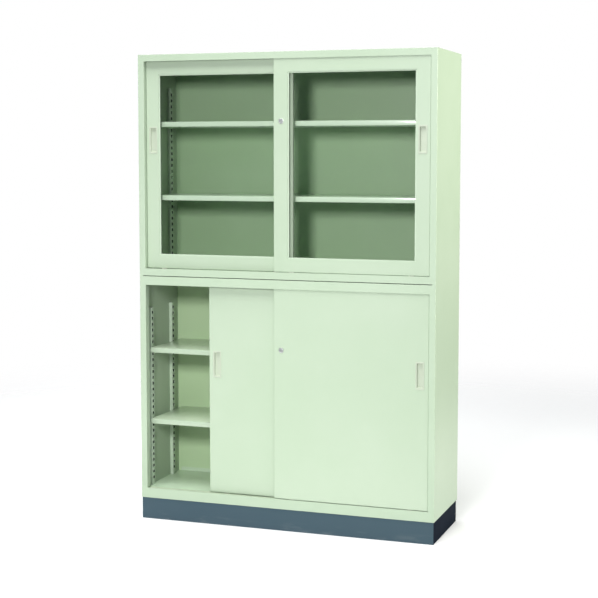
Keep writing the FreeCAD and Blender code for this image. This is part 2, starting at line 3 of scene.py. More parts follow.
import bmesh
import bpy
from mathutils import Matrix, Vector


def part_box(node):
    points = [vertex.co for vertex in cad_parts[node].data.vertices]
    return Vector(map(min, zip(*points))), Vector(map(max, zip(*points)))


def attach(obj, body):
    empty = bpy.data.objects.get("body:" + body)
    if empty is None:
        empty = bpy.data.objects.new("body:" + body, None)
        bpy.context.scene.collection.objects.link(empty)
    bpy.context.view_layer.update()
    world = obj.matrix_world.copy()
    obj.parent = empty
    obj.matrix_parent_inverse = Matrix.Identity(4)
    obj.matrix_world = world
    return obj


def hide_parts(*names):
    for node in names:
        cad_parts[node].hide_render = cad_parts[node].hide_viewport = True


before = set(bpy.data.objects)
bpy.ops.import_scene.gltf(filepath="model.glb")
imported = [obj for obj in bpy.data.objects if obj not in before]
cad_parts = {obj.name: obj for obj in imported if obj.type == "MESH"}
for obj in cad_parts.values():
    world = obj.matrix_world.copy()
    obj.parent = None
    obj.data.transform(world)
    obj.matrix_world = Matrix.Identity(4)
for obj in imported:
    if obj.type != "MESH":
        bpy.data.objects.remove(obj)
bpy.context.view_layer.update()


# ---- Plinth ----
# Four channels of folded 1.6 mm steel, mitred and welded at the corners, that the lower cabinet stands on.
# Stove-enamelled slate grey, the ends painted darker and duller as shade; shoes and brooms scuff the foot.

class Field:
    """A value that changes over a surface: one output of a shader node, where arithmetic adds Math nodes."""

    def __init__(self, nodes, output):
        self.nodes = nodes
        self.output = output

    def maths(self, operation, *values):
        return self.nodes.node("ShaderNodeMath", {"operation": operation}, dict(enumerate(values)))

    def __add__(self, other):
        return self.maths("ADD", self, other)

    __radd__ = __add__

    def __sub__(self, other):
        return self.maths("SUBTRACT", self, other)

    def __rsub__(self, other):
        return self.maths("SUBTRACT", other, self)

    def __mul__(self, other):
        return self.maths("MULTIPLY", self, other)

    __rmul__ = __mul__

    def sine(self):
        return self.maths("SINE", self)

    def ramp(self, low, high):
        """0 below one value, 1 above another and even in between."""
        sockets = {"Value": self, "From Min": low, "From Max": high}
        return self.nodes.node("ShaderNodeMapRange", {"interpolation_type": "SMOOTHSTEP"}, sockets)


class Nodes:
    """A node tree and the one way to add a node to it."""

    def __init__(self, tree):
        self.tree = tree

    def fill(self, node, sockets):
        """Gives a node's sockets their links or plain values."""
        for name, value in sockets.items():
            if isinstance(value, Field):
                self.tree.links.new(value.output, node.inputs[name])
            else:
                node.inputs[name].default_value = value

    def node(self, kind, settings=None, sockets=None, output=0):
        """Adds a node, with its settings before its sockets, and gives back one of its outputs."""
        new = self.tree.nodes.new(kind)
        for name, value in (settings or {}).items():
            setattr(new, name, value)
        self.fill(new, sockets or {})
        return Field(self, new.outputs[output])

    def mix(self, factor, first, second):
        """One colour where factor is 0 and another where it is 1."""
        return self.node("ShaderNodeMix", {"data_type": "RGBA"}, {0: factor, 6: first, 7: second}, output=2)


class Finish(Nodes):
    """A material in the making, with the sockets that are set on its shader."""

    def __init__(self, name, sockets):
        self.material = bpy.data.materials.new(name)
        self.material.use_nodes = True
        super().__init__(self.material.node_tree)
        self.place = self.node("ShaderNodeTexCoord", output="Object")
        self.set(sockets)

    def set(self, sockets):
        self.fill(self.tree.nodes["Principled BSDF"], sockets)

    def noise(self, size, detail=2.0, place=None):
        """Soft noise around 0.5 with blotches of about a size in metres."""
        sockets = {"Vector": place or self.place, "Scale": 1 / size, "Detail": detail}
        return self.node("ShaderNodeTexNoise", sockets=sockets)

    def stretched(self, x, y, z):
        """The place on the piece, stretched along the axes, for streaks."""
        return self.node("ShaderNodeVectorMath", {"operation": "MULTIPLY"}, {0: self.place, 1: (x, y, z)})

    def along(self, axis):
        """How far along X, Y or Z a point lies."""
        return self.node("ShaderNodeSeparateXYZ", sockets={"Vector": self.place}, output=axis)

    def relief(self, height):
        """Bumps whose height is in metres."""
        self.set({"Normal": self.node("ShaderNodeBump", sockets={"Distance": 1.0, "Height": height})})


def shade(red, green, blue):
    """An opaque colour in linear light."""
    return (red, green, blue, 1.0)


def dress(finish, *nodes):
    """Gives CAD nodes a finish in place of their plain one."""
    for name in nodes:
        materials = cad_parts[name].data.materials
        materials.clear()
        materials.append(finish)


SCUFF_HEIGHT = 0.045


def plinth_enamel(name, colour, scuffed, gloss):
    """Slate enamel whose scuffs, in upright streaks, are thickest at the floor."""
    coat = Finish(name, {"Specular IOR Level": gloss})
    foot = 1 - coat.along("Z").ramp(0.0, SCUFF_HEIGHT)
    streaks = coat.noise(0.02, detail=4.0, place=coat.stretched(0.25, 0.25, 1.0)).ramp(0.5, 0.72)
    clouds = coat.noise(0.12, detail=3.0)
    coat.set({
        "Base Color": coat.mix(foot * streaks * 0.6 + clouds * 0.12, colour, scuffed),
        "Roughness": 0.36 + 0.12 * clouds + 0.2 * foot * streaks,
    })
    coat.relief(coat.noise(0.0025) * 0.00002 + coat.noise(0.3) * 0.0006)
    return coat.material


dress(plinth_enamel("slate enamel", shade(0.050, 0.083, 0.105), shade(0.11, 0.145, 0.16), gloss=0.06),
      "plinth_front", "plinth_rear")
# The ends' near-black colour is painted shade.
dress(plinth_enamel("slate enamel of the ends, painted dark as shade", shade(0.003, 0.007, 0.017), shade(0.014, 0.019, 0.03),
                    gloss=0.004),
      "plinth_ends")


# ---- Sides and tops ----
# 1 mm sheet steel, folded to stiles and head rails at the front and screwed or spot-welded to one another.
# Pale green stove enamel: satin, with a fine orange peel, on panels that are never perfectly flat. Towards
# the floor it is painted darker: a painted shade for the light that reaches the foot less.

PEEL_SIZE = 0.0028
PEEL_HEIGHT = 0.00002
FOOT_LOW = 0.085  # between these heights the sides turn from the shade of their foot to the plain one
FOOT_HIGH = 0.42


def enamel(name, colours, waviness=0.0009, gloss=0.2, before=None, axis="Y", low=0.0, high=0.0):
    """Satin enamel clouded between two colours and, before a place along an axis, between two others."""
    coat = Finish(name, {
        "Coat Weight": gloss,
        "Coat Roughness": 0.3 - 0.4 * gloss,
        "Specular IOR Level": 0.5,
    })
    clouds = coat.noise(0.4, detail=3.0)
    dust = coat.noise(0.03, detail=4.0)
    fading = clouds.ramp(0.3, 0.7) * 0.7 + dust * 0.3
    colour = coat.mix(fading, *colours)
    if before:
        colour = coat.mix(coat.along(axis).ramp(low, high), coat.mix(fading, *before), colour)
    coat.set({"Base Color": colour, "Roughness": 0.36 + 0.1 * dust + 0.08 * clouds})
    coat.relief(coat.noise(PEEL_SIZE) * PEEL_HEIGHT + coat.noise(0.3, detail=1.0) * waviness)
    return coat.material


UNITS = ("lower", "upper")
OUTER_COLOURS = (shade(0.405, 0.507, 0.367), shade(0.44, 0.535, 0.405))
# Painted shade: darker towards the floor.
PAINTED_FOOT_SHADE = (shade(0.37, 0.468, 0.335), shade(0.385, 0.483, 0.355))
cabinet_enamel = enamel("pale green enamel", OUTER_COLOURS,
                        before=PAINTED_FOOT_SHADE, axis="Z", low=FOOT_LOW, high=FOOT_HIGH)
for unit in UNITS:
    dress(cabinet_enamel, unit + "_left_side", unit + "_right_side", unit + "_top")


# ---- Floors ----
# One sheet to a unit, folded up to a lip and down to the sill rail at the front, and screwed to the sides.
# Behind the lip the enamel is painted paler: painted light, for the light that falls into the bays.

LIP_WIDTH = 0.004
LIP_FADE = 0.02
# Painted light on the floors inside the bays; in front of the lip, the rails' own colours.
PAINTED_LIGHT_FLOOR = (shade(0.53, 0.67, 0.49), shade(0.55, 0.68, 0.51))
for unit, rail_colours in (("lower", PAINTED_FOOT_SHADE), ("upper", OUTER_COLOURS)):
    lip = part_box(unit + "_floor")[0].y + LIP_WIDTH
    dress(enamel(f"enamel of the {unit} floor", PAINTED_LIGHT_FLOOR, gloss=0.5,
                 before=rail_colours, low=lip, high=lip + LIP_FADE),
          unit + "_floor")


# ---- Back panels ----
# Plain sheets set in behind the shelves, with edges turned to the rear and spot-welded to the walls.
# Outer enamel behind; inside, painted paler in the lower unit and darker in the upper: painted light and
# shade.

INNER_SKIN_START = 0.0002  # depths in the sheet between which the inner face's finish gives way
INNER_SKIN_END = 0.0008
# Painted light and shade: the lower back's inside paler, the upper back's darker.
INNER_PAINTED_LIGHT_AND_SHADE = {"lower": (shade(0.48, 0.64, 0.385), shade(0.51, 0.66, 0.42)),
                 "upper": (shade(0.345, 0.50, 0.295), shade(0.37, 0.52, 0.325))}
for unit in UNITS:
    inner_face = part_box(unit + "_back")[0].y
    dress(enamel(f"enamel of the {unit} back", OUTER_COLOURS, waviness=0.0016, before=INNER_PAINTED_LIGHT_AND_SHADE[unit],
                 low=inner_face + INNER_SKIN_START, high=inner_face + INNER_SKIN_END),
          unit + "_back")


# ---- Shelf standards ----
# Four channels to a unit, roll-formed from 1 mm strip and punched with a slot every 24 mm for shelf clips.
# They are spot-welded upright to the walls, two on each side, and then enamelled. Their inside is painted
# near-black, a painted shade that makes the slots look dark.

CORNER_STEPS = 2
WELD = 1e-6  # points that lie closer together than this become one
SHARP_ANGLE = math.radians(32)
SHEET = 0.001
SLOT_PITCH = 0.024
SLOT_HEIGHT = 0.012
SLOT_WIDTH = 0.014
SLOT_CORNER = 0.0012
FIRST_SLOT = {"lower": 0.030, "upper": 0.0235}  # centre of the first slot above the standard's foot
SLOT_END_MARGIN = 0.018  # least distance from a slot's centre to the standard's end
STANDARD_WIDTH = 0.024
STANDARD_DEPTH = 0.013
STANDARD_BEND = 0.0016


def arc(centre, radius, start, steps=CORNER_STEPS):
    """Points of a quarter turn, from an angle in quarter turns."""
    turns = [(start + step / steps) * math.pi / 2 for step in range(steps + 1)]
    return [(centre[0] + radius * math.cos(turn), centre[1] + radius * math.sin(turn)) for turn in turns]


def rounded(width, height, radius, steps=CORNER_STEPS):
    """Corners of a rectangle around 0, each a list of points, anticlockwise from the upper right."""
    x = width / 2 - radius
    z = height / 2 - radius
    centres = ((x, z), (-x, z), (-x, -z), (x, -z))
    return [arc(centre, radius, start, steps) for start, centre in enumerate(centres)]


def face(shape, points):
    """Adds a face with corners of its own."""
    shape.faces.new([shape.verts.new(point) for point in points])


def sheet_piece(shape, inside=0):
    """Thickens a surface to sheet metal that lies behind it, whose inside can have a second finish."""
    bmesh.ops.remove_doubles(shape, verts=shape.verts, dist=WELD)
    mesh = bpy.data.meshes.new("surface")
    for _ in range(2):  # room for a finish outside and one inside
        mesh.materials.append(None)
    shape.to_mesh(mesh)
    shape.clear()
    thing = bpy.data.objects.new("surface", mesh)
    bpy.context.scene.collection.objects.link(thing)
    solid = thing.modifiers.new("thickness", "SOLIDIFY")
    solid.thickness = SHEET
    solid.offset = -1.0
    solid.use_even_offset = True
    solid.material_offset = inside
    evaluated = thing.evaluated_get(bpy.context.evaluated_depsgraph_get())
    thickened = bpy.data.meshes.new_from_object(evaluated)
    shape.from_mesh(thickened)
    bpy.data.objects.remove(thing)
    bpy.data.meshes.remove(mesh)
    bpy.data.meshes.remove(thickened)
    return shape


def place_piece(name, shape, finish, body, slot, *nodes):
    """Makes an object of a shape, sets it on its body and lets it stand for CAD nodes."""
    mesh = bpy.data.meshes.new(name)
    shape.to_mesh(mesh)
    shape.free()
    mesh.shade_smooth()
    mesh.set_sharp_from_angle(angle=SHARP_ANGLE)
    mesh.materials.append(finish)
    thing = bpy.data.objects.new(name, mesh)
    bpy.context.scene.collection.objects.link(thing)
    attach(thing, body)
    if nodes:
        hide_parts(*nodes)
    return thing


def upright_strip(shape, place, start, end, low, high):
    """A face of the channel between two points of its outline and two heights."""
    face(shape, [place(*start, low), place(*start, high), place(*end, high), place(*end, low)])


def slotted_web(place, z):
    """The web around one slot: four faces between the slot's rounded outline and its share of the web."""
    corners = rounded(SLOT_WIDTH, SLOT_HEIGHT, SLOT_CORNER)
    side, top = STANDARD_WIDTH / 2 - STANDARD_BEND, SLOT_PITCH / 2
    outer = [(side, top), (-side, top), (-side, -top), (side, -top)]
    middle = CORNER_STEPS // 2
    for this in range(4):
        after = (this + 1) % 4
        inner = corners[this][middle:] + corners[after][:middle + 1]
        yield [place(STANDARD_WIDTH / 2 + u, STANDARD_DEPTH, z + v)
               for u, v in [outer[after], outer[this]] + inner]


def standard(place, low, high, first):
    """One channel: place() turns width, depth and height into a point in the bookcase."""
    shape = bmesh.new()
    count = int((high - low - SLOT_END_MARGIN - first) / SLOT_PITCH) + 1
    slots = [low + first + index * SLOT_PITCH for index in range(count)]
    levels = [low] + [z - SLOT_PITCH / 2 for z in slots] + [slots[-1] + SLOT_PITCH / 2, high]
    bend = arc((STANDARD_BEND, STANDARD_DEPTH - STANDARD_BEND), STANDARD_BEND, 1)
    near_leg = [(0.0, 0.0)] + bend[::-1]
    far_leg = [(STANDARD_WIDTH - u, v) for u, v in near_leg[::-1]]
    for z0, z1 in zip(levels, levels[1:]):
        for leg in (near_leg, far_leg):
            for start, end in zip(leg, leg[1:]):
                upright_strip(shape, place, start, end, z0, z1)
    for z in slots:
        for outline in slotted_web(place, z):
            face(shape, outline)
    for z0, z1 in (levels[:2], levels[-2:]):
        upright_strip(shape, place, near_leg[-1], far_leg[0], z0, z1)
    bmesh.ops.remove_doubles(shape, verts=shape.verts, dist=WELD)
    bmesh.ops.recalc_face_normals(shape, faces=shape.faces)
    return sheet_piece(shape, inside=1)


def painted_channel_shade(name):
    """Near-black painted shade for a channel's inside, in patches."""
    strip = Finish(name, {"Specular IOR Level": 0.1})
    shade_patches = strip.noise(0.006, detail=3.0)
    strip.set({
        "Base Color": strip.mix(shade_patches, shade(0.03, 0.04, 0.03), shade(0.07, 0.085, 0.065)),
        "Roughness": 0.6 + 0.2 * shade_patches,
    })
    strip.relief(shade_patches * 0.00002)
    return strip.material


# Painted shade for the inside of the channels, behind the slots.
slot_shade_finish = painted_channel_shade("painted shade inside the channels")
standard_enamel = enamel("enamel of the standards", (shade(0.45, 0.56, 0.42), shade(0.49, 0.59, 0.46)),
                         waviness=0.0003)
for unit in UNITS:
    low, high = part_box(unit + "_standards")
    for wall, x, inward in (("left", low.x, 1), ("right", high.x, -1)):
        for row, y in (("front", low.y), ("rear", high.y - STANDARD_WIDTH)):
            post = standard(lambda u, v, z: (x + inward * v, y + u, z), low.z, high.z, FIRST_SLOT[unit])
            thing = place_piece(f"{unit}_standard_{wall}_{row}", post, standard_enamel, "cabinet",
                                "standard_paint", unit + "_standards")
            thing.data.materials.append(slot_shade_finish)


# ---- Shelf clips ----
# Small hooks that carry the shelves, four to a shelf, each hung in a slot of a standard.
# Bent from 1.5 mm steel strip and zinc plated, which leaves a fine spangle.

def zinc(name):
    """Zinc plating with its spangle."""
    plating = Finish(name, {"Metallic": 1.0})
    spangle = plating.noise(0.004, detail=3.0)
    plating.set({
        "Base Color": plating.mix(spangle, shade(0.62, 0.62, 0.58), shade(0.76, 0.77, 0.76)),
        "Roughness": 0.28 + 0.25 * spangle,
    })
    plating.relief(plating.noise(0.0008) * 0.000008)
    return plating.material


zinc_plate = zinc("zinc plating")
for unit in UNITS:
    dress(zinc_plate, unit + "_shelf_clips")


# ---- Shelves ----
# Trays of 1 mm sheet steel, turned down on all four sides, with the front edge returned underneath to
# stiffen it. They lie loose on their clips. Each unit's shelves are painted paler than the cabinet, the
# upper unit's most: painted light. They are a little dulled on top by what has been pushed over it, and the
# lower shelves' front edge is painted darker than their tops.

SHELF_BEND = 0.002
SHELF_RETURN = 0.012
BEND_STEPS = 3


def tray(low, high):
    """A lid-shaped surface with its front edge returned, all bends rounded, thickened inwards."""
    shape = bmesh.new()
    bmesh.ops.create_cube(shape, size=1.0)
    for vert in shape.verts:
        vert.co = [(low[i] + high[i]) / 2 + vert.co[i] * (high[i] - low[i]) for i in range(3)]
    bottom = min(shape.faces, key=lambda side: side.calc_center_median().z)
    bmesh.ops.delete(shape, geom=[bottom], context="FACES_ONLY")
    front_edge = [edge for edge in shape.edges
                  if all(vert.co.y < low.y + WELD and vert.co.z < low.z + WELD for vert in edge.verts)]
    made = bmesh.ops.extrude_edge_only(shape, edges=front_edge)["geom"]
    for vert in made:
        if isinstance(vert, bmesh.types.BMVert):
            vert.co.y += SHELF_RETURN
    bends = [edge for edge in shape.edges if len(edge.link_faces) == 2]
    bmesh.ops.bevel(shape, geom=bends, offset=SHELF_BEND, segments=BEND_STEPS, profile=0.5, affect="EDGES")
    bmesh.ops.recalc_face_normals(shape, faces=shape.faces)
    return sheet_piece(shape)


def shelf_enamel(name, colour, faded, edge, front):
    """Glossier enamel, rubbed in streaks from front to back, with a shade of its own on the front edge."""
    coat = Finish(name, {"Coat Weight": 0.6, "Coat Roughness": 0.08, "Specular IOR Level": 0.5})
    rubbed = coat.noise(0.012, detail=5.0, place=coat.stretched(1.0, 0.15, 1.0)).ramp(0.45, 0.75)
    clouds = coat.noise(0.25, detail=3.0)
    behind = coat.along("Y").ramp(front + SHELF_BEND / 2, front + 2 * SHELF_BEND)
    coat.set({
        "Base Color": coat.mix(behind, edge, coat.mix(clouds * 0.6 + rubbed * 0.3, colour, faded)),
        "Roughness": 0.26 + 0.16 * rubbed + 0.08 * clouds,
    })
    coat.relief(coat.noise(PEEL_SIZE) * PEEL_HEIGHT + coat.noise(0.2, detail=1.0) * 0.0006)
    return coat.material


# Painted light: paler shelves; the lower front edge darker than its tops.
SHELF_PAINTED_LIGHT = {  # on top, where it has faded, and on the front edge
    "lower": (shade(0.52, 0.63, 0.46), shade(0.56, 0.66, 0.50), shade(0.42, 0.515, 0.385)),
    "upper": (shade(0.65, 0.81, 0.61), shade(0.67, 0.82, 0.63), shade(0.64, 0.80, 0.60)),
}
for unit in UNITS:
    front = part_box(unit + "_shelf_low")[0].y
    tray_enamel = shelf_enamel(f"enamel of the {unit} shelves", *SHELF_PAINTED_LIGHT[unit], front)
    for level in ("low", "high"):
        node = f"{unit}_shelf_{level}"
        place_piece(node + "_tray", tray(*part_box(node)), tray_enamel, "cabinet", "shelf_paint", node)


# ---- Tracks and guides ----
# Plastic extrusions in the cabinet's colour: a low-walled track on the floor and twin channels under the top.
# Screwed along the door opening; the rollers and shoes of the doors polish them where they run.

def extrusion(name, colour, polished):
    """Extruded plastic with fine lines along its length."""
    plastic = Finish(name, {"Specular IOR Level": 0.45})
    runs = plastic.noise(0.004, detail=3.0, place=plastic.stretched(0.02, 1.0, 1.0))
    plastic.set({
        "Base Color": plastic.mix(runs, colour, polished),
        "Roughness": 0.5 - 0.2 * runs.ramp(0.45, 0.7),
    })
    plastic.relief(runs * 0.00004)
    return plastic.material


guide_plastic = extrusion("extruded plastic", shade(0.44, 0.52, 0.38), shade(0.52, 0.60, 0.46))
for unit in UNITS:
    dress(guide_plastic, unit + "_top_guide", unit + "_track")


# ---- Steel doors ----
# Pans of 1 mm sheet steel with folded and lipped edges, and a channel welded up the middle of the back.
# The same enamel as the cabinet's; so large a flat sheet is never quite still, and its reflections drift.

door_enamel = enamel("enamel of the doors", (shade(0.408, 0.507, 0.370), shade(0.435, 0.525, 0.398)),
                     waviness=0.0014)
dress(door_enamel, "lower_left_door_panel", "lower_right_door_panel")


# ---- Glazed doors ----
# Frames pressed from one sheet, with a rebate folded in around the window and the steel doors' enamel.
# A moulded vinyl seal is pressed into the rebate and holds a pane of 3 mm float glass in its groove.

GLASS_INDEX = 1.5
SIDES = ("left", "right")


def float_glass(name):
    """Clear from the front, where its tint and two faces dim what lies behind, and a mirror at a glance."""
    pane = Finish(name, {"Base Color": shade(0.03, 0.05, 0.035), "Roughness": 0.02, "IOR": GLASS_INDEX})
    grazing = pane.node("ShaderNodeFresnel", sockets={"IOR": GLASS_INDEX})
    smear = pane.noise(0.09, detail=4.0, place=pane.stretched(1.0, 1.0, 0.4)).ramp(0.5, 0.8)
    pane.set({"Alpha": 0.02 + 0.01 * smear + 0.5 * grazing})
    return pane.material


def soft_vinyl(name, colour, dusty):
    """Grained vinyl with dust in patches."""
    vinyl = Finish(name, {"Specular IOR Level": 0.35})
    grain = vinyl.noise(0.0012, detail=3.0)
    vinyl.set({
        "Base Color": vinyl.mix(vinyl.noise(0.03, detail=3.0), colour, dusty),
        "Roughness": 0.55 + 0.15 * grain,
    })
    vinyl.relief(grain * 0.00003)
    return vinyl.material


clear_glass = float_glass("float glass")
seal_vinyl = soft_vinyl("vinyl of the seals", shade(0.46, 0.56, 0.43), shade(0.51, 0.60, 0.47))
for side in SIDES:
    dress(door_enamel, f"upper_{side}_door_frame")
    dress(clear_glass, f"upper_{side}_glass")
    dress(seal_vinyl, f"upper_{side}_glazing_seal")


# ---- Finger pulls ----
# Moulded cups of cream plastic pressed into the doors' outer stiles: a slim rim on the face around a recess.
# All edges are rounded by the mould, and the recess narrows towards its floor.

RIM_DEPTH = 0.0012
RIM_CORNER = 0.0025
RIM_EDGE = 0.0005
RECESS_WIDTH = 0.023
RECESS_HEIGHT = 0.092
RECESS_DEPTH = 0.009
RECESS_CORNER = 0.0016
RECESS_DRAFT = 0.0015
MOUTH_EDGE = 0.0006
CUP_WALL = 0.0015
MOULD_STEPS = 4
EDGE_STEPS = 3


def ring(width, height, radius):
    """A rounded rectangle as one loop of points."""
    return [point for corner in rounded(width, height, radius, MOULD_STEPS) for point in corner]


def walls(shape, centre, rings):
    """Joins loops of points, each with its own place along Y, and gives back the loops."""
    loops = [[shape.verts.new((centre.x + u, y, centre.z + v)) for u, v in points] for y, points in rings]
    for first, second in zip(loops, loops[1:]):
        for i in range(len(first)):
            j = (i + 1) % len(first)
            shape.faces.new((first[i], first[j], second[j], second[i]))
    return loops


def lofted(shape, centre, rings):
    """Walls that are closed at both ends."""
    loops = walls(shape, centre, rings)
    shape.faces.new(loops[0])
    shape.faces.new(loops[-1])
    bmesh.ops.recalc_face_normals(shape, faces=shape.faces)


def rounded_edge(width, height, corner, edge, front, widening):
    """Loops over a quarter-round edge up to the front face; widening is 1 for a mouth and -1 for a rim."""
    loops = []
    for step in range(EDGE_STEPS + 1):
        turn = step / EDGE_STEPS * math.pi / 2
        reach = widening * 2 * edge * (1 - math.cos(turn))
        y = front + edge - edge * math.sin(turn)
        loops.append((y, ring(width + reach, height + reach, corner + reach / 2)))
    return loops


def pull_moulding(low, high):
    """The cup from its back, over the rim and its edge, and down the recess to its floor."""
    door_face = low.y + RIM_DEPTH
    floor = low.y + RECESS_DEPTH
    width, height = high.x - low.x, high.z - low.z
    cup = ring(RECESS_WIDTH + 2 * CUP_WALL, RECESS_HEIGHT + 2 * CUP_WALL, RECESS_CORNER)
    floor_width, floor_height = RECESS_WIDTH - 2 * RECESS_DRAFT, RECESS_HEIGHT - 2 * RECESS_DRAFT
    flat_width, flat_height = floor_width - 2 * MOUTH_EDGE, floor_height - 2 * MOUTH_EDGE
    mouth = rounded_edge(RECESS_WIDTH, RECESS_HEIGHT, RECESS_CORNER, MOUTH_EDGE, low.y, widening=1)
    shape = bmesh.new()
    lofted(shape, (low + high) / 2, [
        (high.y, cup),
        (door_face, cup),
        (door_face, ring(width, height, RIM_CORNER)),
        *rounded_edge(width, height, RIM_CORNER, RIM_EDGE, low.y, widening=-1),
        *mouth[::-1],
        (floor - MOUTH_EDGE, ring(floor_width, floor_height, RECESS_CORNER)),
        (floor, ring(flat_width, flat_height, RECESS_CORNER - MOUTH_EDGE)),
    ])
    return shape


def cream_plastic(name):
    """Cream plastic with the mould's fine grain, uneven where it is handled."""
    plastic = Finish(name, {"Specular IOR Level": 0.5})
    grain = plastic.noise(0.0009, detail=3.0)
    handled = plastic.noise(0.018, detail=3.0)
    plastic.set({
        "Base Color": plastic.mix(handled, shade(0.43, 0.49, 0.375), shade(0.46, 0.51, 0.41)),
        "Roughness": 0.3 + 0.12 * grain + 0.1 * handled,
    })
    plastic.relief(grain * 0.00001)
    return plastic.material


pull_plastic = cream_plastic("cream plastic")
for unit in UNITS:
    for side in SIDES:
        node = f"{unit}_{side}_pull"
        place_piece(node + "_moulding", pull_moulding(*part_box(node)), pull_plastic, f"{unit}_{side}_door",
                    "pull_plastic", node)


# ---- Rollers, carriers and guide shoes ----
# Natural nylon mouldings. Each door stands on two wheels, whose axles turn in housings that are snapped into
# its lower edge, and two blocks on its upper edge run in the channel above and keep it upright.

def nylon(name):
    """Nylon that has greyed in patches."""
    moulding = Finish(name, {"Specular IOR Level": 0.4})
    grain = moulding.noise(0.002, detail=3.0)
    grey = moulding.noise(0.01, detail=4.0)
    moulding.set({
        "Base Color": moulding.mix(grey.ramp(0.4, 0.8), shade(0.62, 0.61, 0.54), shade(0.40, 0.39, 0.35)),
        "Roughness": 0.42 + 0.16 * grain,
    })
    moulding.relief(grain * 0.00002)
    return moulding.material


natural_nylon = nylon("natural nylon")
for unit in UNITS:
    for side in SIDES:
        door = f"{unit}_{side}_door"
        dress(natural_nylon, door + "_runners", door + "_roller_left", door + "_roller_right")


# ---- Locks ----
# Die-cast barrels, bright plated, with a rounded flange on the door's face and a square shank that holds it.
# The plug turns in it with the key and carries a flat steel cam on its inner end.

ROUND_STEPS = 48
FLANGE_DEPTH = 0.0016
FLANGE_EDGE = 0.0007
FLANGE_STEPS = 4
SHANK_SHARE = 0.75  # half the shank's width, as a share of the flange's radius
PLUG_RADIUS = 0.006
PLUG_CLEARANCE = 0.0001
PLUG_EDGE = 0.0003
PLUG_SET_BACK = 0.0003
DISH_WIDTH = 0.0015
DISH_DEPTH = 0.0004
KEYWAY_WIDTH = 0.0016
KEYWAY_HEIGHT = 0.007
KEYWAY_DEPTH = 0.005
CAM_WIDTH = 0.010
CAM_CORNER = 0.003
CAM_SHEET = 0.0015
TURNING_PITCH = 9000.0  # radians per metre from the axis, which sets the turned rings 0.7 mm apart
TURNING_HEIGHT = 0.000003


def circle(radius):
    """A round loop of points."""
    turns = [2 * math.pi * step / ROUND_STEPS for step in range(ROUND_STEPS)]
    return [(radius * math.cos(turn), radius * math.sin(turn)) for turn in turns]


def box_ring(half_width, half_height):
    """A rectangle with its points on the same rays as a circle's."""
    points = []
    for u, v in circle(1.0):
        reach = 1 / max(abs(u) / half_width, abs(v) / half_height)
        points.append((u * reach, v * reach))
    return points


def tube(centre, rings):
    """Walls that close on themselves, from the last loop of points to the first."""
    shape = bmesh.new()
    walls(shape, centre, rings + rings[:1])
    bmesh.ops.remove_doubles(shape, verts=shape.verts, dist=WELD)
    bmesh.ops.recalc_face_normals(shape, faces=shape.faces)
    return shape


def lock_barrel(low, high):
    """From the bore's inner end around the shank and the flange, down the dish and back through the bore."""
    radius = (high.x - low.x) / 2
    shank = box_ring(SHANK_SHARE * radius, SHANK_SHARE * radius)
    door_face = low.y + FLANGE_DEPTH
    bore = PLUG_RADIUS + PLUG_CLEARANCE
    dish = bore + DISH_WIDTH
    turns = [step / FLANGE_STEPS * math.pi / 2 for step in range(FLANGE_STEPS + 1)]
    return tube((low + high) / 2, [
        (high.y, circle(bore)),
        (high.y, shank),
        (door_face, shank),
        (door_face, circle(radius)),
        *[(low.y + FLANGE_EDGE * (1 - math.sin(turn)), circle(radius - FLANGE_EDGE * (1 - math.cos(turn))))
          for turn in turns],
        (low.y, circle(dish + DISH_DEPTH)),
        (low.y + DISH_DEPTH, circle(dish)),
        (low.y + DISH_DEPTH, circle(bore)),
    ])


def lock_plug(low, high):
    """The plug's front with its keyway, and the cam behind it."""
    axis = Vector(((low.x + high.x) / 2, 0.0, high.z - PLUG_RADIUS))
    front = low.y + PLUG_SET_BACK
    inner_end = high.y - CAM_SHEET
    keyway = box_ring(KEYWAY_WIDTH / 2, KEYWAY_HEIGHT / 2)
    shape = bmesh.new()
    lofted(shape, axis, [
        (inner_end, circle(PLUG_RADIUS)),
        (front + PLUG_EDGE, circle(PLUG_RADIUS)),
        (front, circle(PLUG_RADIUS - PLUG_EDGE)),
        (front, keyway),
        (front + KEYWAY_DEPTH, keyway),
    ])
    cam_length = axis.z + CAM_WIDTH / 2 - low.z
    cam = ring(CAM_WIDTH, cam_length, CAM_CORNER)
    lofted(shape, Vector((axis.x, 0.0, low.z + cam_length / 2)), [(inner_end, cam), (high.y, cam)])
    return shape


def bright_plating(name, centre):
    """Plating over a turned face: faint rings around the plug and the haze of keys."""
    plating = Finish(name, {"Metallic": 1.0})
    haze = plating.noise(0.003, detail=4.0)
    plating.set({
        "Base Color": plating.mix(haze, shade(0.66, 0.68, 0.66), shade(0.78, 0.79, 0.78)),
        "Roughness": 0.24 + 0.2 * haze,
    })
    ends = {0: plating.stretched(1.0, 0.0, 1.0), 1: (centre.x, 0.0, centre.z)}
    from_axis = plating.node("ShaderNodeVectorMath", {"operation": "DISTANCE"}, ends, output="Value")
    plating.relief((from_axis * TURNING_PITCH).sine() * TURNING_HEIGHT)
    return plating.material


for unit in UNITS:
    low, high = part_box(unit + "_lock_barrel")
    plating = bright_plating(f"bright plating of the {unit} lock", (low + high) / 2)
    place_piece(unit + "_lock_rosette", lock_barrel(low, high), plating, unit + "_right_door", "lock_chrome",
                unit + "_lock_barrel")
    place_piece(unit + "_lock_cylinder", lock_plug(*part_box(unit + "_lock_plug")), plating,
                unit + "_lock_plug", "lock_chrome", unit + "_lock_plug")


# ---- Joining bolts ----
# Four hexagon bolts with washers, zinc plated like the shelf clips, two in front and two behind.
# They go through the upper unit's floor and hold that unit down on the lower one.

BOLT_FROM_SIDE = 0.045
BOLT_FROM_BACK = 0.0225
WASHER_RADIUS = 0.008
WASHER_THICKNESS = 0.0014
HEAD_WIDTH = 0.010
HEAD_HEIGHT = 0.004
HEAD_CHAMFER = 0.0008


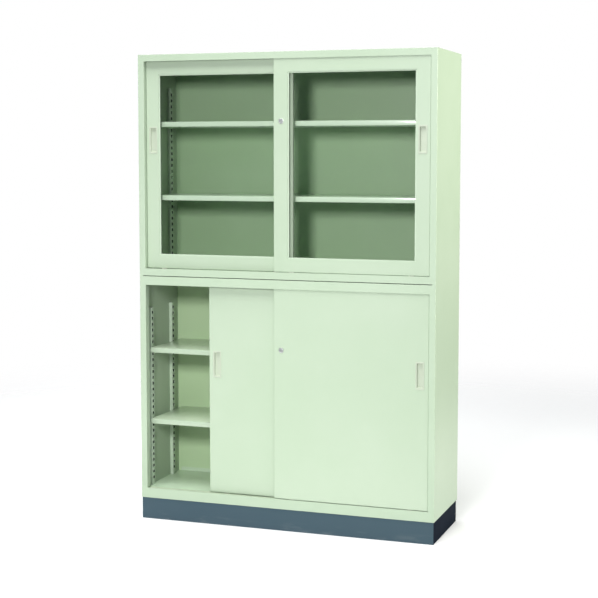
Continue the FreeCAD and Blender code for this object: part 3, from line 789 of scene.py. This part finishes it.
def hexagon(across_flats):
    """A hexagon with its points on the same rays as a circle's."""
    sector = math.pi / 3
    points = []
    for u, v in circle(1.0):
        turn = math.atan2(v, u) % sector
        reach = across_flats / 2 / math.cos(turn - sector / 2)
        points.append((u * reach, v * reach))
    return points


def bolt(x, y, z):
    """Washer and head, piled up along Y and then turned upright."""
    head = WASHER_THICKNESS + HEAD_HEIGHT
    shape = bmesh.new()
    lofted(shape, Vector((0.0, 0.0, 0.0)), [
        (0.0, circle(WASHER_RADIUS)),
        (WASHER_THICKNESS, circle(WASHER_RADIUS)),
        (WASHER_THICKNESS, hexagon(HEAD_WIDTH)),
        (head - HEAD_CHAMFER, hexagon(HEAD_WIDTH)),
        (head, circle(HEAD_WIDTH / 2 - HEAD_CHAMFER)),
    ])
    for vert in shape.verts:
        vert.co = (x + vert.co.x, y + vert.co.z, z + vert.co.y)
    bmesh.ops.recalc_face_normals(shape, faces=shape.faces)
    return shape


low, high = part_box("upper_floor")
bay_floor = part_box("upper_standards")[0].z
shelf_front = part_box("upper_shelf_low")[0].y
by_the_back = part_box("upper_back")[0].y - BOLT_FROM_BACK
for end, x in (("left", low.x + BOLT_FROM_SIDE), ("right", high.x - BOLT_FROM_SIDE)):
    for row, y in (("front", shelf_front), ("rear", by_the_back)):
        place_piece(f"joining_bolt_{end}_{row}", bolt(x, y, bay_floor), zinc_plate, "cabinet", "clip_steel")


# ---- Studio ----
# A pale floor that fades into an even white surround, five soft lights, and the camera. The key light stands
# in front, its beam narrowed by a grid, so shadows fall up behind the doors and under the shelves.

FLOOR_RADIUS = 7.0
FLOOR_STEPS = 96
FADE_START = 1.2  # the floor grows see-through between these distances from the bookcase
FADE_END = 4.6
WHITE = shade(1.0, 1.0, 1.0)
AMBIENT = shade(0.145, 0.168, 0.188)  # lights the bookcase from all around, where the camera sees white

floor_shape = bmesh.new()
bmesh.ops.create_circle(floor_shape, cap_ends=True, segments=FLOOR_STEPS, radius=FLOOR_RADIUS)
floor_mesh = bpy.data.meshes.new("studio_floor")
floor_shape.to_mesh(floor_mesh)
floor_shape.free()
floor = bpy.data.objects.new("studio_floor", floor_mesh)
bpy.context.scene.collection.objects.link(floor)
pale = Finish("pale floor", {
    "Base Color": shade(0.86, 0.86, 0.86),
    "Roughness": 0.9,
    "Specular IOR Level": 0.1,
})
distance = pale.node("ShaderNodeVectorMath", {"operation": "LENGTH"}, {0: pale.place}, output="Value")
pale.set({"Alpha": 1 - distance.ramp(FADE_START, FADE_END)})
floor_mesh.materials.append(pale.material)

world = bpy.data.worlds.new("white surround")
bpy.context.scene.world = world
world.use_nodes = True
surround = Nodes(world.node_tree)
seen = surround.node("ShaderNodeLightPath", output="Is Camera Ray")
surround.fill(world.node_tree.nodes["Background"], {"Color": surround.mix(seen, AMBIENT, WHITE)})


def soft_light(name, place, aim, size, power, spread=180, tint=(1.0, 1.0, 1.0)):
    """A square diffuser turned towards a point, with a grid that narrows its beam to a spread in degrees."""
    lamp = bpy.data.lights.new(name, "AREA")
    lamp.color = tint
    lamp.size = size
    lamp.spread = math.radians(spread)
    lamp.energy = power
    thing = bpy.data.objects.new(name, lamp)
    thing.location = place
    thing.rotation_euler = (Vector(aim) - Vector(place)).to_track_quat("-Z", "Y").to_euler()
    bpy.context.scene.collection.objects.link(thing)


soft_light("key", (0.455, -4.0, 2.03), (-0.35, 0.0, 0.4), size=0.55, power=38.5, spread=110)
soft_light("overhead", (0.0, -2.2, 6.0), (0.0, 0.0, 1.0), size=3.2, power=361.0)
soft_light("side_fill", (3.6, 0.3, 2.1), (0.6, 0.0, 1.9), size=1.4, power=70.0, spread=120,
           tint=(1.0, 0.98, 0.88))
soft_light("left_fill", (-3.6, 0.5, 2.0), (-0.6, 0.0, 0.9), size=1.4, power=36.0, spread=120)
soft_light("back_fill", (-2.5, 4.5, 2.6), (0.0, 0.0, 0.8), size=2.0, power=90.0)

CAMERA_PLACE = (1.8277, -5.1692, 1.4578)
CAMERA_TURN = 0.3398  # to the left of straight ahead, in radians
CAMERA_TILT = -0.0872  # below level, in radians
lens = bpy.data.cameras.new("camera")
lens.sensor_width = 36.0
lens.lens = 84.16
lens.shift_y = -0.0401
camera = bpy.data.objects.new("camera", lens)
camera.location = CAMERA_PLACE
camera.rotation_euler = (math.pi / 2 + CAMERA_TILT, 0.0, CAMERA_TURN)
bpy.context.scene.collection.objects.link(camera)
bpy.context.scene.camera = camera
bpy.context.scene.view_settings.view_transform = "Standard"
